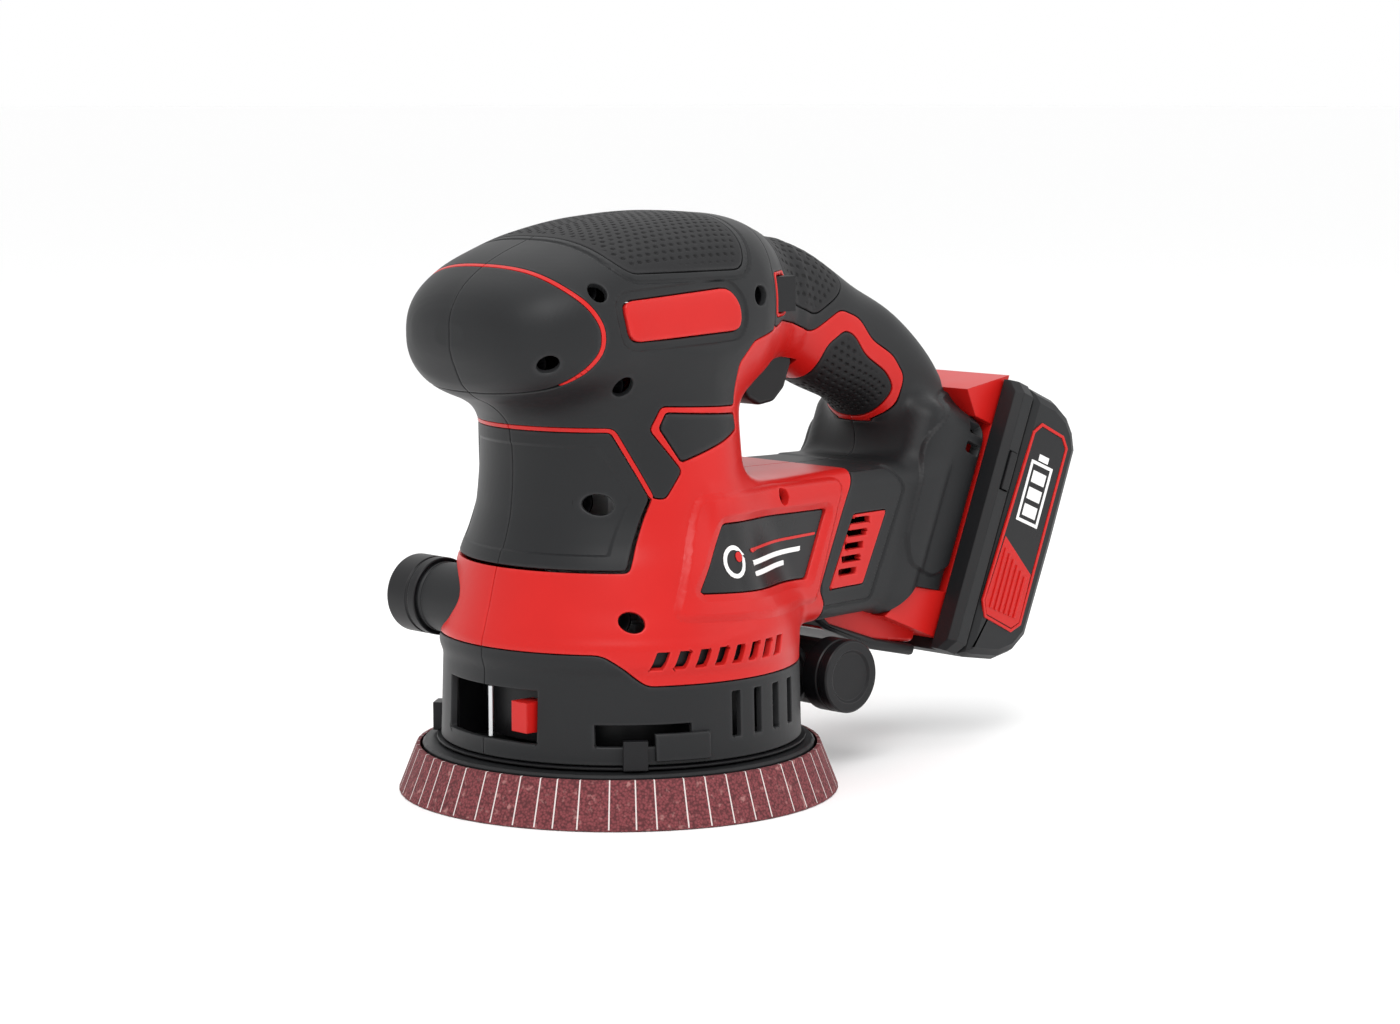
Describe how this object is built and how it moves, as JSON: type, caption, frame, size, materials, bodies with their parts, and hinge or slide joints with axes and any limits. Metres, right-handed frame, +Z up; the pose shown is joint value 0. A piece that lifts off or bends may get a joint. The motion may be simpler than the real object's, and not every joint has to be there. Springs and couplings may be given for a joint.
{
  "type": "orbital sander",
  "caption": "Cordless random orbital sander: round pad, waisted motor housing with front knob, closed rear D-handle with trigger, leaning slide-on battery and two dust ports.",
  "frame": {"origin": "on the motor's axis, in the plane of the abrasive's working face", "axes": "+Z up the motor's axis, +X rearward to the battery, -Y the tool's left side, where its panel and screws are"},
  "size_m": [0.2725, 0.15, 0.195],
  "materials": {
    "red_plastic": "satin moulded, fine texture",
    "charcoal_plastic": "fine moulded texture",
    "grip_rubber": "dimpled soft-touch overmould",
    "black_plastic": "smooth moulded",
    "steel": "ground steel",
    "cast_alloy": "die-cast",
    "abrasive": "coated grit on cloth",
    "foam": "closed-cell foam",
    "cell_sleeve": "shrink sleeve"
  },
  "bodies": {
    "housing": {"housing_left": "red_plastic", "head_shell_left": "charcoal_plastic", "front_knob_left": "charcoal_plastic", "neck_grip_left": "charcoal_plastic", "accent_panel_left": "red_plastic", "handle_shell_left": "charcoal_plastic", "foot_left": "charcoal_plastic", "name_plate_left": "charcoal_plastic", "dust_shroud_left": "charcoal_plastic", "housing_right": "red_plastic", "head_shell_right": "charcoal_plastic", "front_knob_right": "charcoal_plastic", "neck_grip_right": "charcoal_plastic", "accent_panel_right": "red_plastic", "handle_shell_right": "charcoal_plastic", "foot_right": "charcoal_plastic", "name_plate_right": "charcoal_plastic", "dust_shroud_right": "charcoal_plastic", "crown_grip": "grip_rubber", "handle_grip": "grip_rubber", "handle_inset": "grip_rubber", "battery_frame": "red_plastic", "terminal_block": "black_plastic", "dust_spigot": "charcoal_plastic", "dust_elbow": "charcoal_plastic", "skirt_ring": "black_plastic", "window_pin": "steel", "trigger_spring": "steel", "switch_module": "black_plastic", "motor_can": "cast_alloy", "brush_ring": "black_plastic", "upper_bearing": "steel", "lower_bearing": "steel", "bearing_plate": "cast_alloy", "screw_base": "steel", "screw_arm": "steel", "screw_head": "steel", "screw_handle": "steel"},
    "drive": {"rotor": "steel", "dust_fan": "cast_alloy", "eccentric": "cast_alloy"},
    "pad": {"pad_bearing": "steel", "pad_spindle": "steel", "pad_screw": "steel", "backing_plate": "black_plastic", "foam_pad": "foam", "sanding_disc": "abrasive"},
    "trigger": {"trigger": "black_plastic"},
    "lock": {"lock_button": "black_plastic"},
    "pad_lock": {"pad_lock_button": "red_plastic"},
    "collar": {"hose_collar": "black_plastic"},
    "plug": {"dust_plug": "black_plastic"},
    "battery": {"battery_base": "charcoal_plastic", "battery_case": "charcoal_plastic", "battery_label_left": "red_plastic", "battery_label_right": "red_plastic", "cell_pack": "cell_sleeve"},
    "release_left": {"release_button_left": "black_plastic"},
    "release_right": {"release_button_right": "black_plastic"}
  },
  "joints": [
    {"name": "shaft_spin", "type": "hinge", "parent": "housing", "child": "drive", "pos_m": [0, 0, 0.06], "axis": [0, 0, 1], "continuous": true},
    {"name": "pad_spin", "type": "hinge", "parent": "drive", "child": "pad", "pos_m": [-0.00125, 0, 0.02], "axis": [0, 0, 1], "continuous": true},
    {"name": "trigger_pull", "type": "slide", "parent": "housing", "child": "trigger", "axis": [0, 0, 1], "range_m": [0, 0.005], "stiffness_N_per_m": 400, "springref_m": -0.001, "deforming": ["trigger_spring"]},
    {"name": "lock_push", "type": "slide", "parent": "housing", "child": "lock", "axis": [0, 1, 0], "range_m": [-0.0025, 0.0025]},
    {"name": "pad_lock_press", "type": "slide", "parent": "housing", "child": "pad_lock", "axis": [1, 0, 0], "range_m": [0, 0.0025], "stiffness_N_per_m": 400, "springref_m": -0.0005},
    {"name": "collar_turn", "type": "hinge", "parent": "housing", "child": "collar", "pos_m": [-0.041, 0.052, 0.064], "axis": [0, 1, 0], "range_deg": [-45, 45]},
    {"name": "plug_pull", "type": "slide", "parent": "housing", "child": "plug", "axis": [0, -1, 0], "range_m": [0, 0.03]},
    {"name": "battery_slide", "type": "slide", "parent": "housing", "child": "battery", "axis": [0.3746, 0, 0.9272], "range_m": [0, 0.09]},
    {"name": "release_press_left", "type": "slide", "parent": "battery", "child": "release_left", "axis": [0, 1, 0], "range_m": [0, 0.0012], "stiffness_N_per_m": 400, "springref_m": -0.0005},
    {"name": "release_press_right", "type": "slide", "parent": "battery", "child": "release_right", "axis": [0, -1, 0], "range_m": [0, 0.0012], "stiffness_N_per_m": 400, "springref_m": -0.0005}
  ]
}
